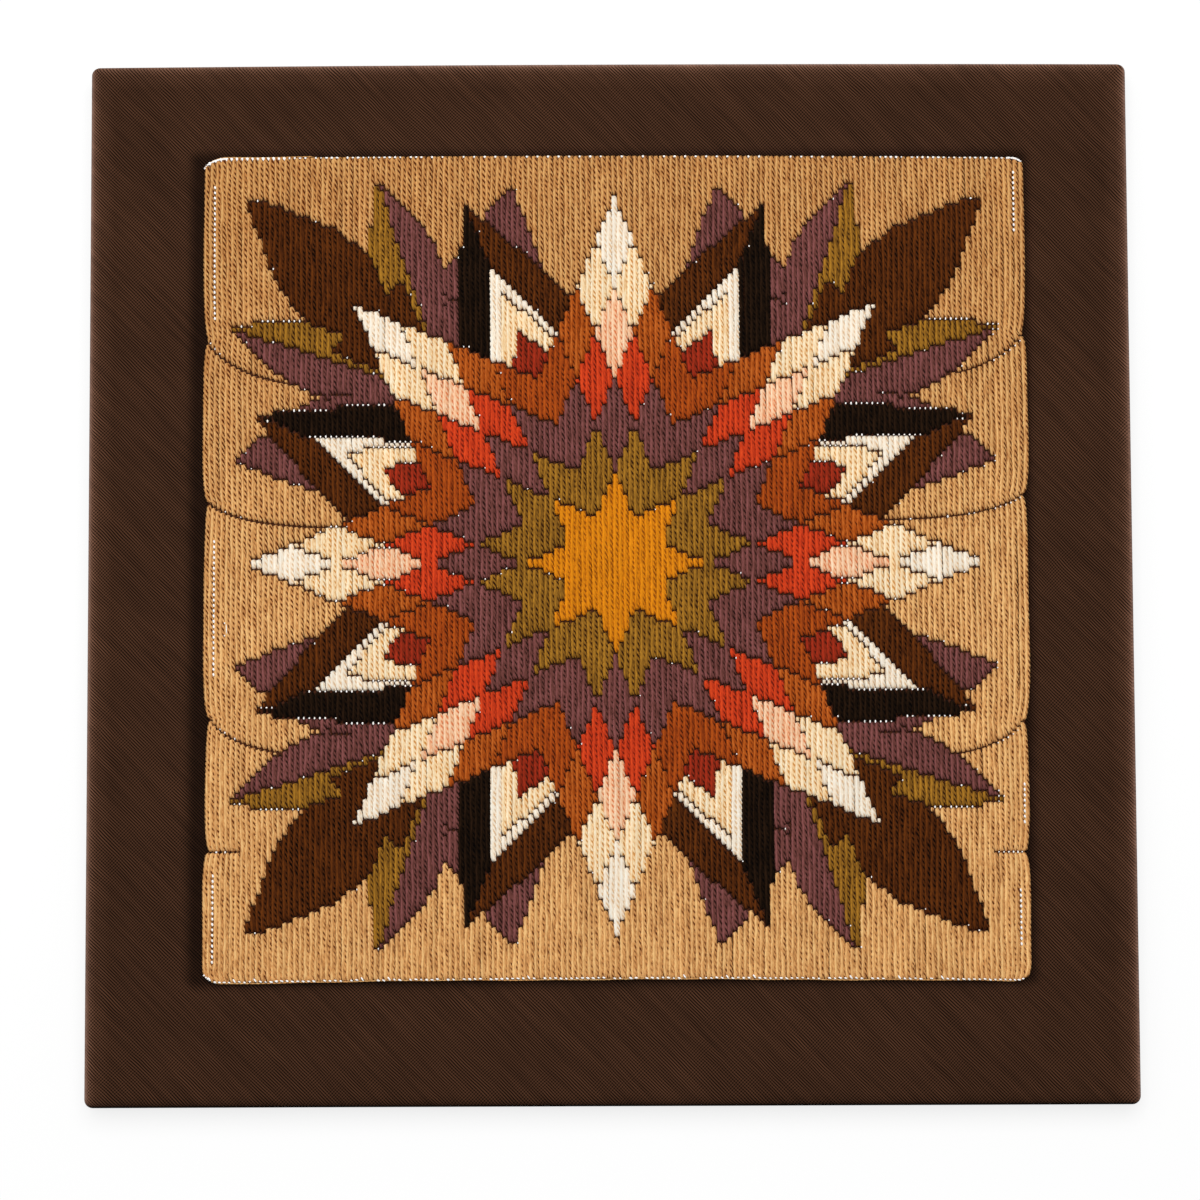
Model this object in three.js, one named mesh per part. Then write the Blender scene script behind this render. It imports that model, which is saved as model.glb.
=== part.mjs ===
// A long-stitch wool tapestry laid on a square board that is covered in brown cloth.
//
// Millimetres, +Z up. The board lies on its back: X runs across the picture, Y runs up it
// and Z points out of its face. The origin is the middle of the board's back.

import * as THREE from "three";

// The cloth-covered board.
const BOARD_SIDE = 500;
const BOARD_THICKNESS = 18;
const BOARD_CORNER_RADIUS = 4; // seen from the front
const BOARD_EDGE_RADIUS = 2.2; // the cloth as it turns over the board's edges
const BOARD_TOP_BOW = 0.8; // the top edge's middle stands this far above its ends

// The tapestry: one sheet of canvas under a layer of wool.
const SHEET_THICKNESS = 3;
const SHEET_HEIGHT = 395.5;
const SHEET_CENTRE = { x: 2.5, y: 7.6 }; // from the board's centre
const SHEET_CORNER_RADIUS = 6;
const SHEET_TOP_BOW = 1.1; // the top edge's middle stands this far above its ends
const SHEET_BOTTOM_BOW = 1.5; // and so does the bottom edge's
const SEAT_GAP = 0.3; // between the sheet and the board's face

// The wool at each side lies in rows. A row swells out to its reach from the sheet's
// centre line, and the edge is drawn in and down where one row ends and the next begins.
// end is the distance below the sheet's top edge at which the row ends.
const SIDE_ROWS = {
  left: [
    { end: 90, reach: 197.3 },
    { end: 168, reach: 197.8 },
    { end: 271, reach: 196.7 },
    { end: 334, reach: 195.6 },
    { end: SHEET_HEIGHT, reach: 196.7 },
  ],
  right: [
    { end: 87, reach: 197.4 },
    { end: 164, reach: 198.0 },
    { end: 271, reach: 197.0 },
    { end: 334, reach: 196.1 },
    { end: SHEET_HEIGHT, reach: 196.1 },
  ],
};
const PINCH_IN = 2.2; // how far the edge is drawn in between two rows
const PINCH_DOWN = 1.1; // how deep the groove between them is
const PINCH_LENGTH = 6; // how far along the edge it takes to swell out again

// How finely arcs, rows and bowed edges are divided.
const CORNER_STEPS = 5;
const ROW_STEPS = 8;
const BOW_STEPS = 14;

// A profile is a list of rings from the underside to the face: how far each lies inside
// the outline, how high it is, and what share of the grooves' depth it takes.
const BOARD_PROFILE = quarterRounds(BOARD_EDGE_RADIUS, BOARD_THICKNESS, 4);
const SHEET_PROFILE = [
  { inset: 0.8, height: 0, groove: 0 },
  { inset: 0.1, height: 0.5, groove: 0.1 },
  { inset: 0, height: 1.3, groove: 0.3 },
  { inset: 0.5, height: 2.2, groove: 0.7 },
  { inset: 1.3, height: 2.75, groove: 1 },
  { inset: 2.6, height: SHEET_THICKNESS, groove: 1 },
  { inset: 12, height: SHEET_THICKNESS, groove: 0.8 },
  { inset: 24, height: SHEET_THICKNESS, groove: 0 },
];

// The profile of a slab whose edge is a quarter round at each face.
function quarterRounds(radius, thickness, steps) {
  const lower = [];
  for (let i = 0; i <= steps; i++) {
    const angle = (i / steps) * (Math.PI / 2);
    const inset = radius * (1 - Math.sin(angle));
    lower.push({ inset, height: radius * (1 - Math.cos(angle)), groove: 0 });
  }
  const upper = lower.map((ring) => ({ ...ring, height: thickness - ring.height }));
  return lower.concat(upper.reverse());
}

// How far a bowed edge stands above its ends, at x from its middle.
function bowed(x, halfLength, bow) {
  return bow * (1 - (x / halfLength) ** 2);
}

// Points on a quarter circle that turns anticlockwise from the angle start.
function cornerArc(centreX, centreY, radius, start) {
  const points = [];
  for (let i = 0; i <= CORNER_STEPS; i++) {
    const angle = start + (i / CORNER_STEPS) * (Math.PI / 2);
    const x = centreX + radius * Math.cos(angle);
    const y = centreY + radius * Math.sin(angle);
    points.push(new THREE.Vector2(x, y));
  }
  return points;
}

// The points of a bowed edge from one end to the other, neither of them included.
function bowedEdge(fromX, toX, endsY, bow) {
  const middle = (fromX + toX) / 2;
  const half = Math.abs(toX - fromX) / 2;
  const points = [];
  for (let i = 1; i < BOW_STEPS; i++) {
    const x = THREE.MathUtils.lerp(fromX, toX, i / BOW_STEPS);
    points.push(new THREE.Vector2(x, endsY + bowed(x - middle, half, bow)));
  }
  return points;
}

// The board seen from the front, anticlockwise from its lower right corner.
function boardOutline() {
  const half = BOARD_SIDE / 2;
  const radius = BOARD_CORNER_RADIUS;
  const straight = half - radius;
  const topEnds = half - BOARD_TOP_BOW;
  return [
    ...cornerArc(straight, -straight, radius, -Math.PI / 2),
    ...cornerArc(straight, topEnds - radius, radius, 0),
    ...bowedEdge(straight, -straight, topEnds, BOARD_TOP_BOW),
    ...cornerArc(-straight, topEnds - radius, radius, Math.PI / 2),
    ...cornerArc(-straight, -straight, radius, Math.PI),
  ];
}

// How much of a pinch a side has at a distance below the sheet's top: 1 between two rows,
// and next to nothing in the middle of one.
function pinchAt(rows, belowTop) {
  const breaks = rows.slice(0, -1).map((row) => row.end);
  const nearest = Math.min(...breaks.map((end) => Math.abs(belowTop - end)));
  return Math.exp(-nearest / PINCH_LENGTH);
}

// How far a side stands from the sheet's centre line, at a distance below its top.
function reachAt(rows, belowTop) {
  const row = rows.find((candidate) => belowTop <= candidate.end);
  return row.reach - PINCH_IN * pinchAt(rows, belowTop);
}

// Distances below the sheet's top at which a side is divided, close together at each row's
// ends, where it is drawn in. The corners have points of their own.
function sideDivisions(rows) {
  const lowestArc = SHEET_HEIGHT - SHEET_CORNER_RADIUS;
  const divisions = [];
  let start = 0;
  for (const { end } of rows) {
    for (let i = 0; i < ROW_STEPS; i++) {
      const share = (1 - Math.cos((i / ROW_STEPS) * Math.PI)) / 2;
      divisions.push(THREE.MathUtils.lerp(start, end, share));
    }
    start = end;
  }
  const clear = 2 * SHEET_CORNER_RADIUS;
  return divisions.filter((belowTop) => belowTop > clear && belowTop < lowestArc - clear / 2);
}

// The sheet seen from the front, about its centre, anticlockwise from its lower right corner.
function sheetOutline() {
  const radius = SHEET_CORNER_RADIUS;
  const half = SHEET_HEIGHT / 2;
  const topEnds = half - SHEET_TOP_BOW;
  const bottomEnds = -half - SHEET_BOTTOM_BOW;
  const upper = topEnds - radius;
  const lower = bottomEnds + radius;
  const sidePoint = (side, rows, belowTop) =>
    new THREE.Vector2(side * reachAt(rows, belowTop), half - belowTop);
  const right = sideDivisions(SIDE_ROWS.right).map((d) => sidePoint(1, SIDE_ROWS.right, d));
  const left = sideDivisions(SIDE_ROWS.left).map((d) => sidePoint(-1, SIDE_ROWS.left, d));
  const upperRight = SIDE_ROWS.right[0].reach - radius;
  const upperLeft = radius - SIDE_ROWS.left[0].reach;
  const lowerRight = SIDE_ROWS.right[4].reach - radius;
  const lowerLeft = radius - SIDE_ROWS.left[4].reach;
  return [
    ...cornerArc(lowerRight, lower, radius, -Math.PI / 2),
    ...right.reverse(),
    ...cornerArc(upperRight, upper, radius, 0),
    ...bowedEdge(upperRight, upperLeft, topEnds, SHEET_TOP_BOW),
    ...cornerArc(upperLeft, upper, radius, Math.PI / 2),
    ...left,
    ...cornerArc(lowerLeft, lower, radius, Math.PI),
    ...bowedEdge(lowerLeft, lowerRight, bottomEnds, SHEET_BOTTOM_BOW),
  ];
}

// The depth of the groove between two rows, at the outline's point.
function grooveDepth(point) {
  const rows = point.x > 0 ? SIDE_ROWS.right : SIDE_ROWS.left;
  return PINCH_DOWN * pinchAt(rows, SHEET_HEIGHT / 2 - point.y);
}

// A closed solid about the outline's centre: a ring for each line of the profile, walls
// between the rings, and a flat face at each end, fanned out from its middle.
function profiledSolid(outline, halfWidth, profile) {
  const count = outline.length;
  const positions = [];
  const indices = [];
  for (const { inset, height, groove } of profile) {
    const scale = 1 - inset / halfWidth;
    for (const point of outline) {
      const z = height - (groove > 0 ? groove * grooveDepth(point) : 0);
      positions.push(point.x * scale, point.y * scale, z);
    }
  }
  const lastRing = (profile.length - 1) * count;
  const underside = profile.length * count;
  const face = underside + 1;
  positions.push(0, 0, profile[0].height);
  positions.push(0, 0, profile[profile.length - 1].height);
  for (let i = 0; i < count; i++) {
    const next = (i + 1) % count;
    indices.push(underside, next, i);
    for (let ring = 0; ring < lastRing; ring += count) {
      indices.push(ring + i, ring + next, ring + next + count);
      indices.push(ring + i, ring + next + count, ring + i + count);
    }
    indices.push(face, lastRing + i, lastRing + next);
  }
  const geometry = new THREE.BufferGeometry();
  geometry.setAttribute("position", new THREE.Float32BufferAttribute(positions, 3));
  geometry.setIndex(indices);
  geometry.computeVertexNormals();
  return geometry;
}

// The board in its brown twill, one solid: the cloth goes round it without a break.
function coveredBoard() {
  const cloth = new THREE.MeshStandardMaterial({ color: 0x3f2820, roughness: 0.9, metalness: 0 });
  const slab = profiledSolid(boardOutline(), BOARD_SIDE / 2, BOARD_PROFILE);
  const board = new THREE.Mesh(slab, cloth);
  board.name = "covered_board";
  return board;
}

// The tapestry, flat on the board's face.
function tapestry() {
  const wool = new THREE.MeshStandardMaterial({ color: 0xcf9b62, roughness: 0.95, metalness: 0 });
  const sheet = new THREE.Mesh(profiledSolid(sheetOutline(), SHEET_HEIGHT / 2, SHEET_PROFILE), wool);
  sheet.name = "tapestry";
  sheet.position.set(SHEET_CENTRE.x, SHEET_CENTRE.y, BOARD_THICKNESS + SEAT_GAP);
  return sheet;
}

const mountedTapestry = new THREE.Group();
mountedTapestry.add(coveredBoard());
mountedTapestry.add(tapestry());

export default mountedTapestry;
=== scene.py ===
import bpy
import numpy as np
from mathutils import Matrix, Vector


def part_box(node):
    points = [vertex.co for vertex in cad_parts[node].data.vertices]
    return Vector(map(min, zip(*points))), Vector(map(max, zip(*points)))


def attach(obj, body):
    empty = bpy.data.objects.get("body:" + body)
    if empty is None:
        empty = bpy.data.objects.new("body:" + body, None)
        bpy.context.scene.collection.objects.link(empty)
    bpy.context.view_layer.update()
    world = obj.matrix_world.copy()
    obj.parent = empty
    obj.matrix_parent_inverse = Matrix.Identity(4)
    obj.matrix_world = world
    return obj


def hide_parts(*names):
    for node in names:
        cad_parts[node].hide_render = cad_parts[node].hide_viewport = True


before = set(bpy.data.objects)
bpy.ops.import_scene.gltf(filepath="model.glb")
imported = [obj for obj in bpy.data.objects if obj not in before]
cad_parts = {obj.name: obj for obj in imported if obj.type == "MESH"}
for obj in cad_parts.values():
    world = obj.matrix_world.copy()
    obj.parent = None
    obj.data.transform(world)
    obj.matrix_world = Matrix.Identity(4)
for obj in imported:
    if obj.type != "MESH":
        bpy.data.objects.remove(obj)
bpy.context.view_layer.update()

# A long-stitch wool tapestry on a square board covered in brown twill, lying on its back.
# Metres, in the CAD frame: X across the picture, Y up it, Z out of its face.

MM = 0.001
rng = np.random.default_rng(1)

# The board and the sheet of needlework, as the solids have them.
BOARD_LOW, BOARD_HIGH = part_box("covered_board")
SHEET_LOW, SHEET_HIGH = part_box("tapestry")
BOARD_HALF = (BOARD_HIGH.x - BOARD_LOW.x) / 2
BOARD_CORNER = 4 * MM
BOARD_EDGE = 2.2 * MM
BOARD_TOP_BOW = 0.8 * MM

# The canvas has ten threads to the inch, and every column of stitches covers one of them.
THREAD = 2.54 * MM
COLUMNS = 155
ROWS = 156
SHEET_HALF_WIDTH = COLUMNS * THREAD / 2
SHEET_TOP_BOW = 1.1 * MM
SHEET_BOTTOM_BOW = 1.5 * MM
BOW_END = 5 * MM  # each bow ends this far in from the sides
HEAD_DROP = 0.65 * MM  # the wool's head lies this far inside the solid's, and slopes down
HEAD_SLOPE = 0.0024  # to the right
# The rounding of each corner (side, end): how wide it is and how far it drops, in mm.
SHEET_CORNERS = {
    (-1, 1): (10.5, 6.0), (1, 1): (6.0, 5.0),
    (-1, -1): (6.5, 6.0), (1, -1): (5.0, 4.0),
}
CORNER_PULL = 3.2 * MM  # how far the outer columns bend in at a corner,
CORNER_BEND = 7 * MM  # over this much of their length
SHEET_HALF = (SHEET_HIGH.y - SHEET_LOW.y - SHEET_BOTTOM_BOW) / 2
SHEET_OFFSET = 2.5 * MM  # how far the sheet lies to the right of the board's middle
SHEET_CENTRE = Vector((SHEET_OFFSET, SHEET_HIGH.y - SHEET_HALF, 0))
CANVAS_THICKNESS = 0.7 * MM
CANVAS_TOP = SHEET_LOW.z + CANVAS_THICKNESS
CROWN = SHEET_HIGH.z - 0.1 * MM  # the top of the wool

# The side rows of the ground, in mm: how far below the sheet's top each ends, and how far
# it reaches from the centre line.
SIDE_ROWS = {
    -1: ((90, 197.3), (168, 197.8), (271, 196.7), (334.8, 195.6), (396, 196.7)),
    +1: ((87.5, 197.4), (165, 198.0), (273, 197.2), (336, 196.1), (396, 196.1)),
}
PINCH_IN = 2.2 * MM  # how far the edge is drawn in where two rows meet,
PINCH_LENGTH = 6 * MM  # and how soon that fades
EDGE_FADE = 8 * MM  # how soon the edge's own swelling fades towards the middle

# Slits between two columns near an edge: the side, how many threads in, where each starts
# and ends below the sheet's top in mm, and whether a thread of the canvas shows in it.
SLITS = (
    (-1, 2, 16, 80, True), (-1, 2, 187, 252, True), (-1, 2, 346, 388, True),
    (1, 2, 10, 38, True), (1, 2, 183, 258, False), (1, 1, 304, 322, True),
    (1, 2, 354, 381, True),
)
SLIT_PUSH = 0.3 * MM  # how far each side of a slit is pushed away from it,
SLIT_MOUTH = 3 * MM  # and the length over which a slit opens

# The twist of the wool.
PLY_PITCH = 2.6 * MM  # from one strand of the twist to the next, along the yarn
PLY_LEAD = 8.5 * MM  # along the yarn, for a full turn of the twist


# --- colours and nodes ----------------------------------------------------------------


def linear(hex_colour):
    """An sRGB hex colour as linear RGBA."""
    srgb = np.array([int(hex_colour[i:i + 2], 16) for i in (1, 3, 5)]) / 255
    rgb = np.where(srgb <= 0.04045, srgb / 12.92, ((srgb + 0.055) / 1.055) ** 2.4)
    return (*rgb.tolist(), 1.0)


def add_node(tree, kind, inputs=(), stops=(), **settings):
    """Adds a node. inputs are its sockets' values, or what feeds them: a list in the
    sockets' order, or a dict by name or number. stops are a colour ramp's places and
    colours."""
    node = tree.nodes.new(kind)
    for name, value in settings.items():
        setattr(node, name, value)
    pairs = inputs.items() if isinstance(inputs, dict) else enumerate(inputs)
    for name, value in pairs:
        if isinstance(value, bpy.types.Node):
            value = value.outputs[0]
        if isinstance(value, bpy.types.NodeSocket):
            tree.links.new(value, node.inputs[name])
        else:
            node.inputs[name].default_value = value
    for place, _ in stops[1:-1]:
        node.color_ramp.elements.new(place)
    for number, (place, colour) in enumerate(stops):
        node.color_ramp.elements[number].position = place
        node.color_ramp.elements[number].color = colour
    return node


def new_material(name):
    """A material with an empty node tree, and that tree."""
    material = bpy.data.materials.new(name)
    material.use_nodes = True
    material.node_tree.nodes.clear()
    return material, material.node_tree


def grey(value):
    """A plain amount, as a colour ramp holds it."""
    return (value, value, value, 1.0)


def finish_material(tree, shader):
    add_node(tree, "ShaderNodeOutputMaterial", [shader])


ONE_WAVE = np.pi / 10  # the scale at which a wave along one axis repeats once a unit


# --- materials ------------------------------------------------------------------------

# Tapestry wool, dyed in the skein: each colour as it shows lit on the ridge of a stitch, which
# is a painted highlight, on its flanks, and in the twist between two strands, which is painted
# shade.
WOOL_COLOURS = {
    "tan": ("#eec080", "#cf9458", "#5f2c0e"),
    "white": ("#f4eee0", "#f0e0c9", "#dcb890"),
    "cream": ("#f6e8cb", "#f0d0a0", "#cc8a42"),
    "pink": ("#f5d8b8", "#ecb88e", "#d8794a"),
    "rust": ("#b45216", "#933d12", "#4a1a08"),
    "orange": ("#bf6526", "#a04812", "#56200a"),
    "deep": ("#a8301a", "#862814", "#43140a"),
    "red": ("#d8471f", "#bd3719", "#701c0f"),
    "mustard": ("#e58d15", "#cd7a10", "#8e4c0e"),
    "olive": ("#ab7826", "#80571c", "#301708"),
    "plum": ("#86504e", "#653a34", "#2a1512"),
    "brown": ("#65330e", "#46210a", "#080301"),
    "black": ("#28180c", "#150b04", "#030101"),
}
WOOL_NAMES = list(WOOL_COLOURS)

# Across a stitch, from its left edge to its right: how pale the wool is painted, palest along
# the ridge as a painted highlight, and how far the painted shade of the twists opens.
RIDGE = ((0, 0.42), (0.1, 0.75), (0.2, 1.0), (0.3, 0.78), (0.44, 0.52), (1, 0.5))
TWIST_OPENS = ((0, 0.15), (0.2, 0.05), (0.55, 0.15), (0.72, 0.85), (0.86, 1.05), (1, 0.6))

# The yarn attribute of a stitch's points holds where each is across the stitch from 0 to 1,
# at which strand of the twist, counted up the stitch, and the stitch's tone from -1 to 1.
STITCHES_APART = 40  # noise that is scaled by this along the tone differs in each stitch
DARKENS_ABOVE = -50 * MM  # the ground grows darker from here to its head
SMOOTH_BELOW = (-180 * MM, -20 * MM)  # where the ground's painted twist shade is weakest, and where as usual


def uneven_laying(tree, yarn):
    """How slack the yarn is laid, which deepens the painted twist shade, how proud its ridge
    stands, which brightens the painted ridge highlight, and how far the ridge wanders to one
    side. Each changes over 10 mm or so along the yarn."""
    along = add_node(tree, "ShaderNodeMapping", {
        "Vector": yarn, "Scale": (0, PLY_PITCH / (10 * MM), STITCHES_APART),
    })
    noise = add_node(tree, "ShaderNodeTexNoise", {"Vector": along, "Scale": 1.0})
    channels = add_node(tree, "ShaderNodeSeparateColor", [noise.outputs["Color"]]).outputs
    # For each of the three: which band of the noise is spread out, and from what to what.
    ranges = ((0.33, 0.67, 0.15, 1.65), (0.3, 0.7, 0.75, 1.25), (0.3, 0.7, -0.16, 0.12))
    return [
        add_node(tree, "ShaderNodeMapRange", {
            "Value": channel, "From Min": low, "From Max": high, "To Min": least, "To Max": most,
        })
        for channel, (low, high, least, most) in zip(channels, ranges)
    ]


def strand_twists(tree, yarn):
    """The painted shade in the twists between the strands, one for each whole turn in the
    attribute's Y.
    """
    waves = add_node(tree, "ShaderNodeTexWave", {
        "Vector": yarn, "Scale": ONE_WAVE, "Distortion": 1.6, "Detail": 1.0,
        "Detail Scale": 2.0,
    }, bands_direction="Y")
    return add_node(tree, "ShaderNodeMapRange", {
        "Value": waves.outputs["Fac"], "From Min": 0.3, "From Max": 0.9, "To Min": -0.15,
    }, interpolation_type="SMOOTHSTEP")


def spun_fibres(tree, yarn):
    """Pale and dark streaks of spun fibre along the yarn: five across a stitch, 0.5 mm wide
    each, and about a strand and a half long."""
    spun = add_node(tree, "ShaderNodeMapping", {
        "Vector": yarn, "Scale": (5.0, 0.7, STITCHES_APART),
    })
    fibres = add_node(tree, "ShaderNodeTexNoise", {
        "Vector": spun, "Scale": 1.0, "Detail": 2.0, "Roughness": 0.6,
    })
    return add_node(tree, "ShaderNodeMapRange", {
        "Value": fibres, "From Min": 0.25, "From Max": 0.75, "To Min": -0.32, "To Max": 0.32,
    })


def ground_darkening(tree):
    """How much darker the ground's wool is at each height, and how open the painted shade of its
    twists is there.
    """
    place = add_node(tree, "ShaderNodeTexCoord").outputs["Object"]
    height = add_node(tree, "ShaderNodeSeparateXYZ", [place]).outputs["Y"]
    darkening = add_node(tree, "ShaderNodeMapRange", {
        "Value": height, "From Min": DARKENS_ABOVE, "From Max": SHEET_HIGH.y,
    }, interpolation_type="SMOOTHSTEP")
    opened = add_node(tree, "ShaderNodeMapRange", {
        "Value": height, "From Min": SMOOTH_BELOW[0], "From Max": SMOOTH_BELOW[1],
        "To Min": 0.4,
    })
    return darkening, opened


def wool(name):
    """Tapestry wool: plied matte yarn. Its strands slant across each stitch with dark twists
    between them, painted as shade, which open out down the right flank and leave a pale ridge on
    the left, painted as a highlight.
    Each strand is streaked by its fibres. The tan of the ground is darker towards its head,
    where its painted twist shade is deepest, and its painted twist shade is weakest at its foot."""
    ridge_highlight_colour, flank_colour, twist_shade_colour = (linear(c) for c in WOOL_COLOURS[name])
    material, tree = new_material("tapestry_wool_" + name)
    yarn = add_node(tree, "ShaderNodeAttribute", attribute_name="yarn").outputs["Vector"]
    across, _, tone = add_node(tree, "ShaderNodeSeparateXYZ", [yarn]).outputs
    slack, proud, shift = uneven_laying(tree, yarn)
    across = add_node(tree, "ShaderNodeMath", [across, shift], operation="ADD")
    opens, ridge = (
        add_node(tree, "ShaderNodeValToRGB", [across],
                 stops=[(place, grey(share)) for place, share in profile])
        for profile in (TWIST_OPENS, RIDGE)
    )
    opened = 0.85
    if name == "tan":
        darkening, opened = ground_darkening(tree)
        slack = add_node(tree, "ShaderNodeMath", [darkening, 0.5, slack], operation="MULTIPLY_ADD")
    slack = add_node(tree, "ShaderNodeMath", [slack, opened], operation="MULTIPLY")
    depth = add_node(tree, "ShaderNodeMath", [strand_twists(tree, yarn), opens],
                     operation="MULTIPLY")
    depth = add_node(tree, "ShaderNodeMath", [depth, slack], operation="MULTIPLY")
    level = add_node(tree, "ShaderNodeMath", [ridge, proud], operation="MULTIPLY")
    level = add_node(tree, "ShaderNodeMath", [level, spun_fibres(tree, yarn)], operation="ADD")
    shown = add_node(tree, "ShaderNodeMath", [level, depth], operation="SUBTRACT",
                     use_clamp=True)
    # The colour runs from the painted twist shade through the flank to the painted ridge
    # highlight.
    colour = add_node(tree, "ShaderNodeValToRGB", [shown],
                      stops=[(0, twist_shade_colour), (0.5, flank_colour), (1, ridge_highlight_colour)])
    value = add_node(tree, "ShaderNodeMath", [tone, 0.07, 1.0], operation="MULTIPLY_ADD")
    toned = add_node(tree, "ShaderNodeHueSaturation", {"Color": colour, "Value": value})
    # The ground's wool is darker towards its head.
    if name == "tan":
        toned = add_node(tree, "ShaderNodeMix", {
            0: darkening, 6: toned, 7: (0.79, 0.72, 0.64, 1.0),
        }, data_type="RGBA", blend_type="MULTIPLY").outputs[2]
    relief = add_node(tree, "ShaderNodeBump", {
        "Height": shown, "Distance": 0.35 * MM, "Strength": 0.7,
    })
    finish_material(tree, add_node(tree, "ShaderNodeBsdfPrincipled", {
        "Base Color": toned, "Roughness": 0.92, "IOR": 1.45, "Specular IOR Level": 0.06,
        "Sheen Weight": 0.01, "Sheen Roughness": 0.5, "Normal": relief,
    }))
    return material


def cotton_canvas():
    """Mono canvas of round cotton threads, with an open hole under the middle of each stitch's
    end. It is white cotton, painted dark brown as painted shade, for it shows only deep between
    the stitches."""
    material, tree = new_material("shaded_cotton_canvas")
    place = add_node(tree, "ShaderNodeTexCoord").outputs["Object"]
    centred = add_node(tree, "ShaderNodeMapping", {"Vector": place, "Location": -SHEET_CENTRE})
    upright, level = (
        add_node(tree, "ShaderNodeTexWave", {
            "Vector": centred, "Scale": ONE_WAVE / THREAD,
        }, bands_direction=axis).outputs["Fac"]
        for axis in ("X", "Y")
    )
    threads = add_node(tree, "ShaderNodeMath", [upright, level], operation="MAXIMUM")
    # Painted shade: the white canvas's threads and holes are coloured dark brown and near black.
    colour = add_node(tree, "ShaderNodeValToRGB", [threads],
                      stops=[(0, linear("#0c0502")), (1, linear("#4a2411"))])
    finish_material(tree, add_node(tree, "ShaderNodeBsdfPrincipled", {
        "Base Color": colour, "Roughness": 0.9, "IOR": 1.45, "Specular IOR Level": 0.2,
    }))
    return material


def cotton_thread():
    """The canvas's own threads where they show: creamy white twisted cotton."""
    material, tree = new_material("white_cotton_thread")
    place = add_node(tree, "ShaderNodeTexCoord").outputs["Object"]
    fibres = add_node(tree, "ShaderNodeTexNoise", {
        "Vector": place, "Scale": 1 / (0.4 * MM), "Detail": 2.0,
    })
    colour = add_node(tree, "ShaderNodeValToRGB", [fibres],
                      stops=[(0.3, linear("#f8e8cc")), (0.5, linear("#ffffff"))])
    finish_material(tree, add_node(tree, "ShaderNodeBsdfPrincipled", {
        "Base Color": colour, "Roughness": 0.75, "IOR": 1.5,
    }))
    return material


RIB = 1.15 * MM  # between the twill's ribs, across them
# The tapestry's painted shadow on the twill: the rectangle where it is darkest, its middle, and
# half its size.
SHADOW_CENTRE = SHEET_CENTRE + Vector((-2.5 * MM, -0.8 * MM, 0))
SHADOW_HALF = (197 * MM, SHEET_HALF - 2.3 * MM, 1)  # at any height
SHADOW_FADE = 9 * MM  # from there to twill with no painted shadow
# A painted highlight along the head and the sides of the face: how strong it is towards an edge,
# from this far in.
HIGHLIGHT_FROM = BOARD_HALF - 12 * MM
EDGE_HIGHLIGHT = ((0, 0), (0.56, 0.09), (0.7, 0.19), (0.84, 0.36), (0.93, 0.8), (1, 1))
# From the first of these to the second the ribs are rubbed more and more flat.
FLAT_RIBS = (BOARD_HALF - 3 * MM, BOARD_HALF - 0.6 * MM)
# The cloth's tone where it turns over the board's foot, from this far in to the edge: painted
# contact shade, darkest at the edge.
FOOT_SHADE_FROM = -BOARD_HALF + 6 * MM
FOOT_SHADE_TONES = ((0, 1.0), (0.5, 0.84), (0.8, 0.55), (0.87, 0.1), (1, 0.05))


def twill_ribs(tree, place):
    """The ribs, from 0 in a groove to 1: diagonals that fall to the right, crossed here and
    there by fainter ones."""
    turned = add_node(tree, "ShaderNodeMapping", {
        "Vector": place, "Rotation": (0, 0, np.pi / 2),
    })
    # A diagonal wave repeats half as often as one along an axis, counted on x + y.
    ribs, crossing = (
        add_node(tree, "ShaderNodeTexWave", {
            "Vector": where, "Scale": 2 * ONE_WAVE / (2 ** 0.5 * RIB), "Distortion": 6.0,
            "Detail": 2.0, "Detail Scale": 0.1,
        }, bands_direction="DIAGONAL").outputs["Fac"]
        for where in (place, turned)
    )
    patches = add_node(tree, "ShaderNodeTexNoise", {
        "Vector": place, "Scale": 1 / (9 * MM), "Detail": 2.0,
    })
    crossed = add_node(tree, "ShaderNodeMapRange", {
        "Value": patches, "From Min": 0.36, "From Max": 0.6, "To Min": 0.0, "To Max": 0.5,
    })
    return add_node(tree, "ShaderNodeMix", {0: crossed, 2: ribs, 3: crossing})


def dye_tone(tree, place):
    """How dark the cloth is from place to place: in streaks along the ribs, each 2 or 3 mm
    wide and some 30 mm long, on a wider cast."""
    along_ribs = add_node(tree, "ShaderNodeMapping", {
        "Vector": place, "Rotation": (0, 0, -np.pi / 4), "Scale": (28 * MM, 2.4 * MM, 28 * MM),
    }, vector_type="TEXTURE")
    streaks = add_node(tree, "ShaderNodeTexNoise", {
        "Vector": along_ribs, "Scale": 1.0, "Detail": 1.0,
    })
    cast = add_node(tree, "ShaderNodeTexNoise", {
        "Vector": place, "Scale": 1 / (35 * MM), "Detail": 4.0,
    })
    tone = add_node(tree, "ShaderNodeMath", [cast, 0.32, 0.36], operation="MULTIPLY_ADD")
    return add_node(tree, "ShaderNodeMath", [streaks, 0.56, tone], operation="MULTIPLY_ADD")


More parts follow.
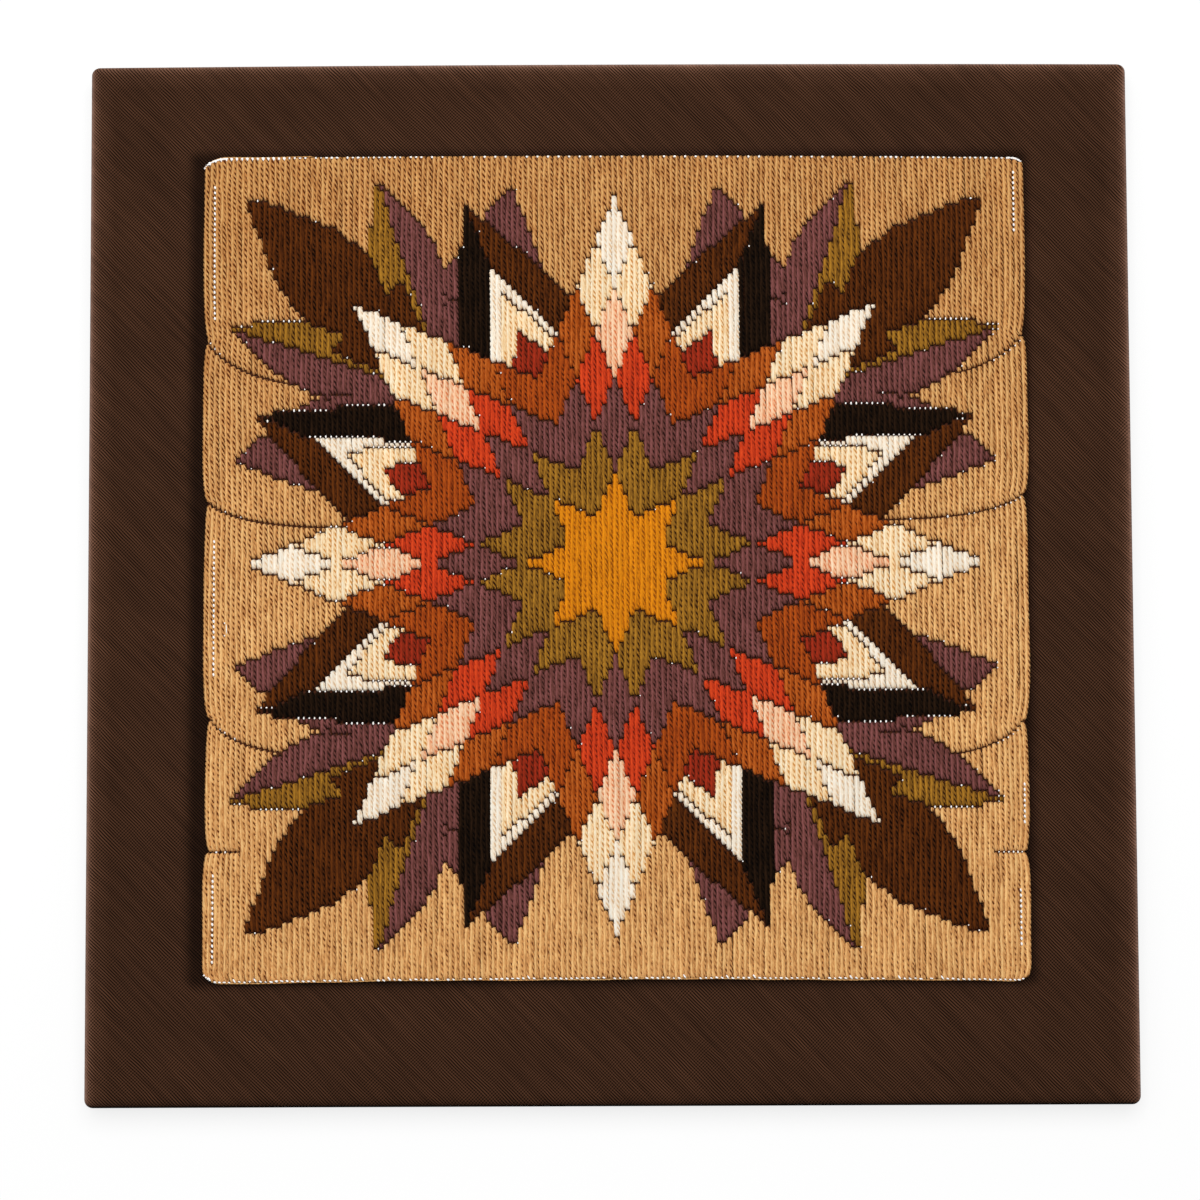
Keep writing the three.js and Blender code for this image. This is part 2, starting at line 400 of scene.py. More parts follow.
def tapestry_shadow(tree, place):
    """The painted shadow that the tapestry casts on the face: darker close to the tapestry, and
    most so on the left."""
    off = add_node(tree, "ShaderNodeVectorMath", [place, SHADOW_CENTRE], operation="SUBTRACT")
    off = add_node(tree, "ShaderNodeVectorMath", [off], operation="ABSOLUTE")
    off = add_node(tree, "ShaderNodeVectorMath", [off, SHADOW_HALF], operation="SUBTRACT")
    off = add_node(tree, "ShaderNodeVectorMath", [off, (0, 0, 0)], operation="MAXIMUM")
    gap = add_node(tree, "ShaderNodeVectorMath", [off], operation="LENGTH").outputs["Value"]
    return add_node(tree, "ShaderNodeMapRange", {
        "Value": gap, "From Min": 0.0, "From Max": SHADOW_FADE, "To Min": 0.33, "To Max": 1.0,
    }, interpolation_type="SMOOTHERSTEP")


def edge_tones(tree, position, start, end, tones):
    """The tones, spread over the range of a position from start to end."""
    share = add_node(tree, "ShaderNodeMapRange", {
        "Value": position, "From Min": start, "From Max": end,
    })
    return add_node(tree, "ShaderNodeValToRGB", [share],
                    stops=[(near, grey(tone)) for near, tone in tones])


def cotton_twill():
    """Dark brown cotton twill: diagonal ribs that fall to the right, crossed here and there by
    fainter ones, with a painted highlight along the head and the sides, a painted shadow round
    the tapestry, and painted shade along the foot, on the board's sides and on its back. The
    real ribs are 0.6 mm apart, and are drawn nearly twice as far apart so that they show."""
    material, tree = new_material("brown_cotton_twill")
    place = add_node(tree, "ShaderNodeTexCoord").outputs["Object"]
    x, y, z = add_node(tree, "ShaderNodeSeparateXYZ", [place]).outputs
    # The ribs rubbed flat, the painted highlight and the painted shadows are on the face and its
    # rounding alone.
    face = add_node(tree, "ShaderNodeMapRange", {
        "Value": z, "From Min": BOARD_HIGH.z - 2 * BOARD_EDGE,
        "From Max": BOARD_HIGH.z - BOARD_EDGE,
    })
    width = add_node(tree, "ShaderNodeMath", [x], operation="ABSOLUTE")
    outermost = add_node(tree, "ShaderNodeMath", [width, y], operation="MAXIMUM")
    flat = add_node(tree, "ShaderNodeMapRange", {
        "Value": outermost, "From Min": FLAT_RIBS[0], "From Max": FLAT_RIBS[1], "To Max": 0.85,
    })
    flat = add_node(tree, "ShaderNodeMath", [flat, face], operation="MULTIPLY")
    weave = add_node(tree, "ShaderNodeMix", {0: flat, 2: twill_ribs(tree, place), 3: 0.6})
    colour = add_node(tree, "ShaderNodeValToRGB", [weave],
                      stops=[(0.1, linear("#090402")), (0.95, linear("#5c3c2a"))])
    # Painted shadow round the tapestry, on the face alone.
    shadow_tone = add_node(tree, "ShaderNodeMix", {0: face, 2: 1.0, 3: tapestry_shadow(tree, place)})
    tone = add_node(tree, "ShaderNodeMath", [dye_tone(tree, place), shadow_tone], operation="MULTIPLY")
    # Painted highlight along the head and the sides: brighter and less saturated towards the
    # edge.
    edge_highlight = edge_tones(tree, outermost, HIGHLIGHT_FROM, BOARD_HALF, EDGE_HIGHLIGHT)
    edge_highlight = add_node(tree, "ShaderNodeMath", [edge_highlight, face], operation="MULTIPLY")
    highlight_saturation = add_node(tree, "ShaderNodeMath", [edge_highlight, -0.3, 1.0], operation="MULTIPLY_ADD")
    edge_highlight = add_node(tree, "ShaderNodeMath", [edge_highlight, 4.0, 1.0], operation="MULTIPLY_ADD")
    tone = add_node(tree, "ShaderNodeMath", [tone, edge_highlight], operation="MULTIPLY")
    # Painted contact shade along the foot on the face, and a plain painted shade of 0.6 on the
    # board's sides and back.
    foot_shade = edge_tones(tree, y, FOOT_SHADE_FROM, -BOARD_HALF, FOOT_SHADE_TONES)
    foot_shade = add_node(tree, "ShaderNodeMix", {0: face, 2: 0.6, 3: foot_shade})
    tone = add_node(tree, "ShaderNodeMath", [tone, foot_shade], operation="MULTIPLY")
    toned = add_node(tree, "ShaderNodeHueSaturation", {
        "Color": colour, "Value": tone, "Saturation": highlight_saturation,
    })
    relief = add_node(tree, "ShaderNodeBump", {
        "Height": weave, "Distance": 0.12 * MM, "Strength": 0.5,
    })
    finish_material(tree, add_node(tree, "ShaderNodeBsdfPrincipled", {
        "Base Color": toned, "Roughness": 0.9, "IOR": 1.45, "Specular IOR Level": 0.05,
        "Normal": relief,
    }))
    return material


# --- meshes ---------------------------------------------------------------------------


def mesh_piece(name, points, quads, material, vectors=(), maps=(), caps=()):
    """A smooth piece from arrays of points and of four-cornered faces, riding on the
    part. vectors and maps name a vector attribute and a UV map, one value a point. caps
    are flat faces with a whole ring of corners each."""
    points, quads = np.asarray(points, np.float32), np.asarray(quads, np.int32)
    corners = np.concatenate([quads.ravel(), *caps]).astype(np.int32)
    sizes = np.array([4] * len(quads) + [len(cap) for cap in caps])
    mesh = bpy.data.meshes.new(name)
    mesh.vertices.add(len(points))
    mesh.vertices.foreach_set("co", points.ravel())
    mesh.loops.add(len(corners))
    mesh.loops.foreach_set("vertex_index", corners)
    mesh.polygons.add(len(sizes))
    starts = np.concatenate([[0], np.cumsum(sizes)[:-1]]).astype(np.int32)
    mesh.polygons.foreach_set("loop_start", starts)
    mesh.update(calc_edges=True)
    mesh.polygons.foreach_set("use_smooth", np.ones(len(sizes), bool))
    for label, values in dict(vectors).items():
        attribute = mesh.attributes.new(label, "FLOAT_VECTOR", "POINT")
        attribute.data.foreach_set("vector", np.asarray(values, np.float32).ravel())
    for label, values in dict(maps).items():
        layer = mesh.uv_layers.new(name=label)
        layer.uv.foreach_set("vector", np.asarray(values, np.float32)[corners].ravel())
    mesh.validate()
    mesh.materials.append(material)
    piece = bpy.data.objects.new(name, mesh)
    bpy.context.scene.collection.objects.link(piece)
    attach(piece, "root")
    return piece


def grid_quads(rows, columns):
    """Faces of a grid of points that are numbered row by row."""
    start = (np.arange(rows - 1)[:, None] * columns + np.arange(columns - 1)).ravel()
    return np.stack([start, start + 1, start + columns + 1, start + columns], axis=1)


# --- the outline of the sheet ---------------------------------------------------------


def side_reach(side, below_top):
    """How far a side's edge stands from the sheet's centre line."""
    ends, reaches = np.array(SIDE_ROWS[side]).T * MM
    row = np.clip(np.searchsorted(ends, below_top), 0, len(ends) - 1)
    nearest = np.abs(np.subtract.outer(below_top, ends[:-1])).min(-1)
    past_bend = np.abs(below_top - SHEET_HALF) - SHEET_HALF + CORNER_BEND
    over = np.clip(past_bend, 0, 6.9 * MM) / CORNER_BEND
    return (reaches[row] - PINCH_IN * np.exp(-nearest / PINCH_LENGTH)
            - CORNER_PULL * (1 - np.sqrt(1 - over ** 2)))


def column_x(nominal_x, y):
    """Where a column that is at nominal_x on the canvas lies at height y, as the edges
    swell and draw in and the slits part. The pull fades within a few columns."""
    below_top = SHEET_HALF - y
    x = nominal_x
    for side, threads_in, start, end, _ in SLITS:
        off = nominal_x - side * (SHEET_HALF_WIDTH - threads_in * THREAD)
        inside = np.minimum(below_top - start * MM, end * MM - below_top) / SLIT_MOUTH
        push = SLIT_PUSH * np.exp(-np.abs(off) / (1.5 * THREAD)) * np.clip(inside + 0.5, 0, 1)
        x = x + np.sign(off) * push
    for side in (-1, 1):
        pull = side_reach(side, below_top) - SHEET_HALF_WIDTH
        x = x + side * pull * np.exp(-(SHEET_HALF_WIDTH - side * nominal_x) / EDGE_FADE)
    return x


def edge_height(x, end):
    """Height of the sheet's top (end 1) or bottom (end -1) edge at x, with its bow and its
    rounded corners."""
    bow = SHEET_TOP_BOW if end > 0 else SHEET_BOTTOM_BOW
    ends = SHEET_HALF - bow if end > 0 else SHEET_HALF + bow
    drop = 0
    for side in (-1, 1):
        wide, tall = np.array(SHEET_CORNERS[side, end]) * MM
        over = np.clip((side * x - SHEET_HALF_WIDTH) / wide + 1, 0, 0.999)
        drop = drop + tall * (1 - np.sqrt(1 - over ** 2))
    rise = bow * (1 - np.minimum(np.abs(x) / (SHEET_HALF_WIDTH - BOW_END), 1) ** 2)
    lower = HEAD_DROP + HEAD_SLOPE * x if end > 0 else 0
    return end * (ends - drop) + rise - lower


# --- the chart ------------------------------------------------------------------------

# The chart is a patchwork star in a generic layout: each cell is one thread wide and one
# thread high, and holds a colour of wool and the number of the shape that it belongs to.
CHART_X = (np.arange(COLUMNS) - (COLUMNS - 1) / 2)[:, None] * THREAD
CHART_Y = ((ROWS - 1) / 2 - np.arange(ROWS))[None, :] * THREAD
DEG = np.pi / 180

STAR_PATCHES = 4  # diamonds along each side of a point of the star
STAR_PATCH = 24 * MM  # each side of a diamond
STAR_RINGS = ("mustard", "olive", "plum", "red", "orange", "cream", "white")
POINT_ANGLE = 45  # from one of the star's eight points to the next, in degrees
VALLEYS = 22.5 + POINT_ANGLE * np.arange(8)  # directions of the valleys between them
NOTCH_LENGTH = 0.3  # of a leaf's length


class Chart:
    """Colour and shape number of every cell, painted from the back to the front."""

    def __init__(self):
        self.colour = np.full((COLUMNS, ROWS), WOOL_NAMES.index("tan"))
        self.shape = np.zeros((COLUMNS, ROWS), int)
        self.painted = 0
        # The height of each cell's upper edge, where one stitch can give way to another.
        self.cut = np.broadcast_to(CHART_Y + THREAD / 2, (COLUMNS, ROWS)).copy()

    def paint(self, cells, colour):
        self.painted += 1
        self.colour[cells] = WOOL_NAMES.index(colour)
        self.shape[cells] = self.painted

    def leaf(self, radius, turn, lean, length, width, colours, widest=0.45, barb=0, notch=0):
        """A pointed leaf that is rooted at radius from the middle in the direction turn and
        points lean degrees off it. It reaches width to each side at the share of its length
        called widest. colours are those of its left and right halves. A notch narrows it by
        that share just before a barb."""
        angle = (turn + lean) * DEG
        dx = CHART_X - radius * np.cos(turn * DEG)
        dy = CHART_Y - radius * np.sin(turn * DEG)
        along = dx * np.cos(angle) + dy * np.sin(angle)
        beside = dy * np.cos(angle) - dx * np.sin(angle)
        share = np.clip(along / length, 0, 1)
        taper = np.where(share < widest, share / widest, (1 - share) / (1 - widest))
        half = width * taper ** 0.9
        notched = (share > barb - NOTCH_LENGTH) & (share < barb)
        half = half * np.where(notched, 1 - notch * (barb - share) / NOTCH_LENGTH, 1)
        cells = (np.abs(beside) <= half) & (along > 0) & (along < length)
        if colours[0] == colours[1]:
            self.paint(cells, colours[0])
        else:
            self.paint(cells & (beside > 0), colours[0])
            self.paint(cells & (beside <= 0), colours[1])

    def star(self):
        """An eight-pointed star pieced from diamonds, in rings of colour. a and b count the
        diamonds along the two sides of each point."""
        turn = (np.arctan2(CHART_Y, CHART_X) / DEG - VALLEYS[0]) % 360
        first = (VALLEYS[0] + POINT_ANGLE * (turn // POINT_ANGLE)) * DEG
        second = first + POINT_ANGLE * DEG
        unit = np.sin(POINT_ANGLE * DEG) * STAR_PATCH
        a = np.floor((CHART_X * np.sin(second) - CHART_Y * np.cos(second)) / unit)
        b = np.floor((CHART_Y * np.cos(first) - CHART_X * np.sin(first)) / unit)
        inside = (a < STAR_PATCHES) & (b < STAR_PATCHES)
        for ring, colour in enumerate(STAR_RINGS):
            self.paint(inside & (a + b == ring), colour)
        self.paint(inside & (a == 2) & (b == 2), "pink")
        self.paint(inside & (np.abs(a - b) == STAR_PATCHES - 1), "rust")


def flipped(colours, flip):
    return colours[::-1] if flip else colours


def star_chart():
    """The whole chart: split leaves to the four corners, lozenges in the star's valleys, and
    the star over their roots."""
    chart = Chart()
    for corner in range(4):
        turn = 45 + 90 * corner
        for side in (-1, 1):
            chart.leaf(96 * MM, turn, side * 54, 116 * MM, 33 * MM, ("plum", "plum"),
                       widest=0.46, barb=0.66, notch=0.4)
            chart.leaf(112 * MM, turn, side * 27, 112 * MM, 24 * MM,
                       flipped(("plum", "olive"), side < 0), widest=0.5, barb=0.7, notch=0.4)
        chart.leaf(116 * MM, turn, 0, 134 * MM, 30 * MM, ("brown", "brown"),
                   widest=0.5, barb=0.7, notch=0.45)
    for number, valley in enumerate(VALLEYS):
        chart.leaf(40 * MM, valley, 0, 146 * MM, 36 * MM,
                   flipped(("black", "brown"), number % 2), widest=0.5)
    for length, colour in ((106 * MM, "white"), (90 * MM, "cream"), (70 * MM, "deep")):
        for valley in VALLEYS:
            chart.leaf(50 * MM, valley, 0, length, 17 * MM, (colour, colour), widest=0.6)
    chart.star()
    return chart


# How far each break falls as it runs in from the edge, and how far in it can run.
BREAKS = ((24 * MM, 90 * MM), (13 * MM, 90 * MM), (20 * MM, 90 * MM), (0, 17 * MM))
DROOP_LENGTH = 20 * MM  # how soon it falls


def split_ground(chart):
    """Numbers the ground's rows, so that its long stitches end where one row meets the
    next. Each break droops as it runs in from the edge, until it meets a motif. The ends
    along it are not kept to the holes of the canvas."""
    ground = chart.shape == 0
    for side in (-1, 1):
        inward = SHEET_HALF_WIDTH - side * CHART_X
        for (end, _), (droop, run) in zip(SIDE_ROWS[side], BREAKS):
            height = SHEET_HALF - end * MM - droop * (1 - np.exp(-inward / DROOP_LENGTH))
            under = ground & (inward < run) & (CHART_Y < height)
            chart.shape[under] -= 1
            first = under[:, 1:] & ~under[:, :-1] & ground[:, :-1]
            chart.cut[:, 1:] = np.where(first, height, chart.cut[:, 1:])


# --- stitches -------------------------------------------------------------------------

ANGLES = np.radians(np.linspace(-90, 90, 6))  # round the yarn, from its left edge to its right
TIP = 2.0 * MM  # how far from its end a stitch starts to dive into its hole
TUCK = 0.18 * MM  # from a hole's middle to the stitch's end
SHORTEST = 0.6 * THREAD  # no shorter stitch is made
SWAY = 0.17 * MM  # how far a stitch wanders to each side of its column

# The strands of side-by-side stitches nearly line up, because the yarn is laid with an even
# twist. Each column's strands start half a turn below the last one's, and wander a little.
STRAND_START = np.cumsum(rng.normal(-PLY_LEAD / 2, 0.25 * MM, COLUMNS))
SWAY_PHASE = np.cumsum(rng.normal(0, 0.5, COLUMNS))


def stitch_table(chart):
    """One line for each stitch: column, top and bottom height, colour, whether its top and
    bottom are at the sheet's edge, and whether its own colour goes on above it."""
    lines = []
    nominal = CHART_X[:, 0]
    tops, bottoms = edge_height(nominal, 1), edge_height(nominal, -1)
    for column in range(COLUMNS):
        key = chart.shape[column]
        cuts = np.flatnonzero(np.diff(key)) + 1
        starts = np.concatenate([[0], cuts])
        ends = np.concatenate([cuts, [ROWS]])
        for start, end in zip(starts, ends):
            top = min(chart.cut[column, start], tops[column])
            bottom = bottoms[column] if end == ROWS else chart.cut[column, end]
            if top - bottom > SHORTEST:
                colour = chart.colour[column, start]
                split = start > 0 and chart.colour[column, start - 1] == colour
                lines.append((column, top, bottom, colour, start == 0, end == ROWS, split))
    return lines


def stitch_rows(column, low, length):
    """Where the rows of points of a stitch lie along it: three to a strand of the twist, in
    step with the columns beside it, and close together at its tips. Returns them with how
    far apart they are and how far up the first twist lies."""
    step = PLY_PITCH / 3 * rng.uniform(0.995, 1.005)
    ends = np.array([0, 0.12, 0.4, 0.85, 1.4]) * MM
    ends = ends[ends < length * 0.3]
    offset = (STRAND_START[column] - low) % (3 * step)
    regular = np.arange(offset % step, length, step)
    clear = ends[-1] + 0.5 * step
    regular = regular[(regular > clear) & (regular < length - clear)]
    return np.concatenate([ends, regular, length - ends[::-1]]), step, offset


def flanks(column):
    """How far the strands part at each angle round the yarn, and how that is put in the yarn
    attribute. They part on the right flank, and furthest at the sheet's own edges, so the
    first column's left flank shows as a right one does."""
    slope = np.sin(ANGLES)
    parted = np.clip(0.5 + slope, 0, 1)
    across = 0.5 + 0.5 * slope
    if column == 0:
        parted = np.where(slope < 0, 3.5 * slope ** 2, parted)
        across = np.where(slope < 0, -0.9 * slope, across)
    if column == COLUMNS - 1:
        parted = np.where(slope > 0, 2.5 * slope ** 2, parted)
    return parted, across


def stitch(column, top, bottom, at_top, at_bottom):
    """The points of one stitch, row by row up its length, with its yarn attribute."""
    low = bottom + (0 if at_bottom else TUCK)
    length = top - (0 if at_top else TUCK) - low
    along, step, offset = stitch_rows(column, low, length)
    to_end = np.minimum(along, length - along)
    # Each row of points slants as the strands do, but less and less in the last 3 mm. The
    # twist, the width and the whole stitch wander slowly up its length.
    shear = np.clip(to_end / (3 * MM), 0, 1)
    shear = shear ** 2 * (3 - 2 * shear)
    lead = PLY_LEAD / (2 * np.pi)
    place = along[:, None] - lead * shear[:, None] * ANGLES[None, :]
    y = low + place
    wander = 0.3 * np.sin(y / (13 * MM) + 1.7 * SWAY_PHASE[column])
    ply = (place + lead * ANGLES[None, :] - offset) / (3 * step) + 0.5 + wander
    bulge = np.abs(np.cos(np.pi * ply)) ** 0.7
    to_tip = np.clip(to_end / TIP, 0, 1)[:, None]
    dive = np.sqrt(1 - (1 - to_tip) ** 2)
    narrowed = 0.3 + 0.7 * np.sin(np.pi / 2 * to_tip) ** 0.8
    parted, across = flanks(column)
    width = THREAD / 2 * rng.uniform(1.05, 1.12) * narrowed * (1 - 0.12 * parted * (1 - bulge))
    width = width * (1 + 0.05 * np.sin(y / (8 * MM) + 3 * SWAY_PHASE[column]))
    base = CANVAS_TOP - 0.1 * MM
    height = (CROWN - base) * rng.uniform(0.96, 1.0) * (1 - 0.1 * parted * (1 - bulge)) * dive
    slope = np.sin(ANGLES)
    nominal = CHART_X[column, 0] + rng.normal(0, 0.08 * MM)
    sway = SWAY * np.sin(y / (15 * MM) + SWAY_PHASE[column])
    x = column_x(nominal, y) + sway + width * slope
    # The strands of side-by-side stitches touch, except on the sheet's own edges.
    touching = 0.8 * (1 - (0.5 + 0.4 * parted) * (1 - bulge)) * np.abs(slope) ** 3
    if column in (0, COLUMNS - 1):
        touching = touching * (slope * (1 - column) > 0)
    z = base + height * np.maximum(np.cos(ANGLES) ** 0.6, touching)
    points = np.stack([x + SHEET_CENTRE.x, y + SHEET_CENTRE.y, z], axis=-1)
    tone = np.clip(rng.normal(0, 0.5), -1, 1)
    yarn = np.stack([np.broadcast_to(across, ply.shape), ply + rng.integers(0, 90),
                     np.full(ply.shape, tone)], axis=-1)
    return points, yarn, along


def laid_out(lengths, strip):
    """Where each stitch's strip lies on the bake's map: strips stand end to end in columns,
    in a square. Returns each strip's column and start, and the square's side."""
    side = max(np.sqrt(sum(lengths) * strip) * 1.03, max(lengths) * 1.01)
    places, column, cursor = [], 0, 0.0
    for length in lengths:
        if cursor + length > side:
            column, cursor = column + 1, 0.0
        places.append((column, cursor))
        cursor += length
    return places, max(side, (column + 1) * strip)


# The piece that each strand along the head (1) or the foot (-1) is in, and in mm where it
# starts and stops and how far outside the sheet's edge it lies.
LIPS = {"wool_tan_1": (1, -196, -143, 0.1), "wool_tan_2": (-1, -191, 192, -0.12)}


def rolled_lip(end, start, stop, outside):
    """A strand of the ground's wool that lies along the head or foot of the sheet, over the
    tips of the stitches."""
    x = np.arange(start, stop, 1.3) * MM
    wander = 0.15 * MM * np.sin(x / (21 * MM)) + 0.12 * MM * np.sin(x / (6.3 * MM))
    around = np.linspace(0, 2 * np.pi, 9)
    radius = (0.28 + 0.06 * np.cos(np.arange(len(x)) * np.pi)) * MM
    ends = np.minimum(np.arange(len(x)), np.arange(len(x))[::-1])
    radius = (radius * np.clip(ends / 2, 0, 1))[:, None]
    y = (edge_height(x, end) + end * outside * MM + wander)[:, None] + radius * np.cos(around)
    z = SHEET_LOW.z + 1.6 * MM + radius * np.sin(around)
    grid = np.stack([column_x(x[:, None], y) + SHEET_CENTRE.x, y + SHEET_CENTRE.y, z], axis=-1)
    ply = x[:, None] / PLY_PITCH + around / (2 * np.pi)
    across = np.broadcast_to(0.5 * np.sin(around * 0.5), ply.shape)
    yarn = np.stack([across, ply, np.zeros(ply.shape)], axis=-1)
    # Its strip on the bake's map is a fifth as long as the strand, to fit in among the rest.
    return grid, yarn, 0.2 * (x - x[0])


def wool_piece(name, lines, material):
    """All the stitches of one skein as one piece."""
    strip = 4.6 * MM  # on the bake's map, for the outside of the yarn opened out
    made = [stitch(c, t, b, at_top, at_bottom) for c, t, b, _, at_top, at_bottom, _ in lines]
    if name in LIPS:
        made.append(rolled_lip(*LIPS[name]))
    places, side = laid_out([along[-1] + 0.5 * MM for _, _, along in made], strip)
    points, yarns, quads, bake, count = [], [], [], [], 0
    for (grid, yarn, along), (column, start) in zip(made, places):
        points.append(grid.reshape(-1, 3))
        yarns.append(yarn.reshape(-1, 3))
        quads.append(grid_quads(*grid.shape[:2]) + count)
        across = np.linspace(0.06, 0.94, grid.shape[1]) * strip
        u = np.broadcast_to(column * strip + across, grid.shape[:2])
        v = np.broadcast_to((start + along)[:, None], grid.shape[:2])
        bake.append(np.stack([u, v], axis=-1).reshape(-1, 2) / side)
        count += len(points[-1])
    return mesh_piece(name, np.concatenate(points), np.concatenate(quads), material,
                      {"yarn": np.concatenate(yarns)}, {"OFBake": np.concatenate(bake)})


# The ground's columns on the left, along the middle and on the right are a piece each.
GROUND_PARTS = ((0, 38), (38, 117), (117, COLUMNS))


def stitches(chart):
    """The stitches of each colour as a piece, and the ground's as three, with the table that
    they are made from."""
    lines = stitch_table(chart)
    pieces = []
    for code, name in enumerate(WOOL_NAMES):
        mine = [line for line in lines if line[3] == code]
        if not mine:
            continue
        material = wool(name)
        if name == "tan":
            for number, (first, after) in enumerate(GROUND_PARTS, 1):
                share = [line for line in mine if first <= line[0] < after]
                pieces.append(wool_piece(f"wool_{name}_{number}", share, material))
        else:
            pieces.append(wool_piece("wool_" + name, mine, material))
    return pieces, lines


# --- canvas ---------------------------------------------------------------------------


def canvas_sheet():
    """The canvas under the wool, its edge just inside the wool's: a top and a bottom grid of
    points, joined by walls."""
    across, up = 41, 61  # points
    side_inset, end_inset = 0.9 * MM, 0.8 * MM
    nominal = np.linspace(-1, 1, across) * (SHEET_HALF_WIDTH - side_inset)
    share = np.linspace(0, 1, up)
    low = edge_height(nominal, -1) + end_inset
    high = edge_height(nominal, 1) - end_inset
    y = low[None, :] + (high - low)[None, :] * share[:, None]
    x = column_x(nominal[None, :], y)
    top = np.stack([x + SHEET_CENTRE.x, y + SHEET_CENTRE.y, np.full(x.shape, CANVAS_TOP)], -1)
    bottom = top - np.array([0, 0, CANVAS_THICKNESS - 0.02 * MM])  # just inside the solid
    numbers = np.arange(x.size).reshape(up, across)
    rim = np.concatenate([
        numbers[0], numbers[1:, -1], numbers[-1, -2::-1], numbers[-2:0:-1, 0],
    ])
    after = np.roll(rim, -1)
    walls = np.stack([rim, rim + x.size, after + x.size, after], axis=1)[:, ::-1]
    face = grid_quads(up, across)
    quads = np.concatenate([face, face[:, ::-1] + x.size, walls])
    points = np.concatenate([top.reshape(-1, 3), bottom.reshape(-1, 3)])
    return mesh_piece("canvas", points, quads, cotton_canvas())


def bead_shape():
    """A short stretch of thread, as a closed grid of points on a unit capsule."""
    angles = np.linspace(0, 2 * np.pi, 9)
    rise = np.radians([-90, -45, 0, 45, 90])
    x = np.outer(np.cos(rise), np.cos(angles))
    z = np.outer(np.cos(rise), np.sin(angles))
    y = np.broadcast_to(np.sin(rise)[:, None], x.shape)
    return np.stack([x, y, z], axis=-1)


# A spot is a place where a thread of the canvas shows between two columns: where it is, how
# wide and tall it shows in mm, how far it leans, and how far it tapers. Each of the next
# three functions makes one spot, or none.
HEAD_WEDGES_TO = -157 * MM
HEAD_PAIRS = (-93 * MM, 125 * MM)
HEAD_MISSED = 0.15  # the share of spots that are missing along the head
SIDE_BAND = 17 * MM  # from a side edge
# The share of gaps between tips that show a spot.
SHOWN = {"level": 0.8, "at the left": 0.4, "uneven": 0.07, "split": 0.06}


def head_spot(column, x):
    """At the head: wedges on the left, a dot at every second gap along the middle, and
    uneven scraps elsewhere."""
    y = edge_height(x, 1)
    if x < HEAD_WEDGES_TO:
        return x, y - 1.1 * MM, rng.uniform(0.55, 0.7), rng.uniform(0.8, 1.05), 0.1, 1
    if HEAD_PAIRS[0] < x < HEAD_PAIRS[1]:
        if column % 2 or rng.random() < HEAD_MISSED:
            return None
        return x, y - 0.85 * MM, rng.uniform(0.5, 0.7), rng.uniform(0.45, 0.6), 0, 0.2
    if rng.random() < HEAD_MISSED:
        return None
    return x, y - 0.8 * MM, rng.uniform(0.4, 0.8), rng.uniform(0.35, 0.6), 0, 0.2


def foot_spot(x):
    """At the foot: a low dot as a rule, and now and then a tall scrap that leans."""
    y = edge_height(x, -1) + rng.uniform(0.5, 0.9) * MM
    if rng.random() < 0.1:
        return x, y + 0.6 * MM, 0.5, 0.95, 0.6, 0
    if rng.random() < 0.85:
        wide, tall = rng.uniform((0.55, 0.38), (0.85, 0.55))
        return x, y, wide, tall, rng.uniform(0.2, 0.8), 0
    return None


def tip_spot(x, height, split, level):
    """Where tips meet: often in a level run of tips and near the sides, and seldom elsewhere
    or where wool of the same colour goes on above."""
    if SHEET_HALF_WIDTH - abs(x) < SIDE_BAND:
        place = "level" if level or x > 0 else "at the left"
    elif split:
        place = "split"
    else:
        place = "level" if level else "uneven"
    if rng.random() >= SHOWN[place]:
        return None
    wide, tall = rng.uniform((0.36, 0.4), (0.5, 0.75)) * (1 if level else 0.75)
    return x, height, wide, tall, 0, 0


def thread_spots(lines):
    """The spots between each column and the next, along the top and bottom edges and where
    tips meet. Tips are level where those of the columns on both sides are as high."""
    ends = [[] for _ in range(COLUMNS + 2)]  # with two that stay empty, past the edges
    for column, top, bottom, _, at_top, at_bottom, split in lines:
        ends[column].append((top, "head" if at_top else "split" if split else "tips"))
        if at_bottom:
            ends[column].append((bottom, "foot"))
    spots = []
    for column in range(COLUMNS - 1):
        x = CHART_X[column, 0] + THREAD / 2
        for height, kind in ends[column]:
            if kind == "head":
                spots.append(head_spot(column, x))
            elif kind == "foot":
                spots.append(foot_spot(x))
            else:
                level = all(
                    any(abs(height - other) < 0.3 * THREAD for other, _ in ends[column + beside])
                    for beside in (-1, 1, 2)
                )
                spots.append(tip_spot(x, height, kind == "split", level))
    return [spot for spot in spots if spot]


# Where the thread shows round a corner: the side, the end, and how far in from the side it
# starts and stops, in mm.
CORNER_THREADS = ((-1, 1, 0.3, 11), (1, 1, 1.5, 8), (-1, -1, 0.6, 2.6))
PULLED_LOOP = (-186.6 * MM, -31 * MM)


